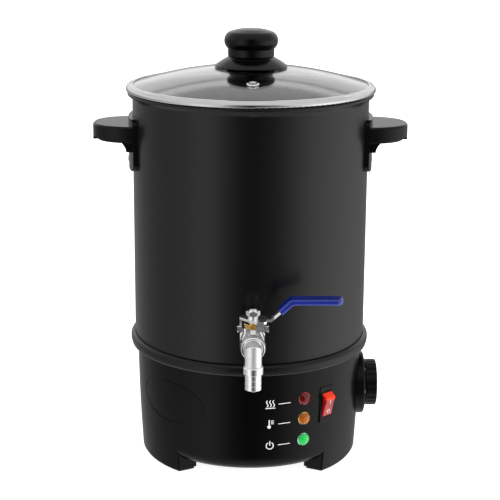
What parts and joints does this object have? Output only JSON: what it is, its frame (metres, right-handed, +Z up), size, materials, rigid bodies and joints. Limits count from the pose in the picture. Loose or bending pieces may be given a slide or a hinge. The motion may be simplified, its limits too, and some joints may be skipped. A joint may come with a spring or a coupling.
{
  "type": "candle wax melter",
  "caption": "Electric wax melting pot on a heated base, with a glass lid, ear handles, a draining ball valve with a hose tail, a thermostat dial, a rocker switch and indicator lamps.",
  "frame": {"origin": "bottom centre of the whole object, on the floor; the pot's vertical axis is 24.2 mm behind it, at y = +0.0242 m", "axes": "+Z up along the pot axis; the tap and the control panel face -Y; the thermostat dial is on +X"},
  "size_m": [0.3206, 0.3012, 0.4419],
  "materials": {
    "pot_coating": "satin black non-stick coating",
    "base_black": "semi-gloss black enamel",
    "bead_black": "semi-gloss black",
    "cover_black": "matt black",
    "foot_rubber": "matt black rubber",
    "handle_black": "satin black phenolic",
    "knob_black": "satin black phenolic",
    "dial_black": "satin black",
    "dial_marks": "satin black with white marks",
    "zinc_steel": "zinc-plated steel",
    "sheet_steel": "bare sheet steel",
    "aluminium": "cast aluminium",
    "element_steel": "dull heat-tinted steel",
    "tap_chrome": "bright nickel plate",
    "lever_steel": "bright zinc-plated steel",
    "gland_brass": "bright brass",
    "lever_blue": "glossy dipped vinyl",
    "ptfe": "white",
    "silicone": "translucent white",
    "lid_glass": "clear tempered glass",
    "rim_steel": "polished stainless steel",
    "lens_red": "translucent red",
    "lens_amber": "translucent amber",
    "lens_green": "translucent green, lit",
    "nylon_black": "black",
    "rocker_red": "translucent red",
    "ceramic_white": "unglazed white",
    "wire_insulation": "silicone sleeving"
  },
  "bodies": {
    "root": {"base_housing": "base_black", "collar_ring": "bead_black", "pot": "pot_coating", "bottom_cover": "cover_black", "bottom_cover_screws": "zinc_steel", "foot_pads": "foot_rubber", "heater_plate": "aluminium", "heating_element": "element_steel", "heater_clamp": "sheet_steel", "bracket_spacers": "zinc_steel", "bracket_bolts": "zinc_steel", "heat_shield": "sheet_steel", "thermal_cutoff": "sheet_steel", "thermostat_body": "nylon_black", "thermostat_bracket": "zinc_steel", "thermostat_screws": "zinc_steel", "thermostat_sensor": "rim_steel", "sensor_clip": "sheet_steel", "thermostat_escutcheon": "dial_marks", "lamp_red": "lens_red", "lamp_amber": "lens_amber", "lamp_green": "lens_green", "lamp_nuts": "nylon_black", "switch_housing": "nylon_black", "switch_terminals": "gland_brass", "power_inlet": "nylon_black", "inlet_pins": "gland_brass", "inlet_screws": "zinc_steel", "terminal_block": "ceramic_white", "terminal_screws": "gland_brass", "wiring": "wire_insulation", "handle_left": "handle_black", "handle_right": "handle_black", "handle_screws": "zinc_steel", "handle_nuts": "zinc_steel", "valve_body": "tap_chrome", "valve_end_cap": "tap_chrome", "valve_seats": "ptfe", "stem_packing": "ptfe", "gland_nut": "gland_brass", "valve_washers": "silicone", "valve_back_nut": "rim_steel", "spout_elbow": "tap_chrome", "hose_barb": "tap_chrome"},
    "lid": {"lid_glass": "lid_glass", "lid_rim": "rim_steel", "vent_eyelet": "rim_steel", "lid_knob": "knob_black", "lid_knob_base": "knob_black", "lid_knob_washer": "nylon_black", "lid_knob_screw": "zinc_steel"},
    "tap_lever": {"lever_arm": "lever_steel", "lever_grip": "lever_blue", "stem_nut": "lever_steel", "valve_stem": "tap_chrome", "valve_ball": "rim_steel"},
    "dial": {"thermostat_dial": "dial_black", "thermostat_shaft": "zinc_steel"},
    "rocker": {"switch_rocker": "rocker_red"}
  },
  "joints": [
    {"name": "lid_lift", "type": "slide", "parent": "root", "child": "lid", "axis": [0, 0, 1], "range_m": [0, 0.1]},
    {"name": "tap_lever_turn", "type": "hinge", "parent": "root", "child": "tap_lever", "pos_m": [0, -0.1208, 0.1836], "axis": [0, 0, -1], "range_deg": [0, 90]},
    {"name": "dial_turn", "type": "hinge", "parent": "root", "child": "dial", "pos_m": [0.12, 0.0242, 0.066], "axis": [-1, 0, 0], "range_deg": [0, 270]},
    {"name": "rocker_tip", "type": "hinge", "parent": "root", "child": "rocker", "pos_m": [0.07452, -0.06275, 0.0752], "axis": [-0.7593, -0.6508, 0], "range_deg": [0, 30]}
  ]
}
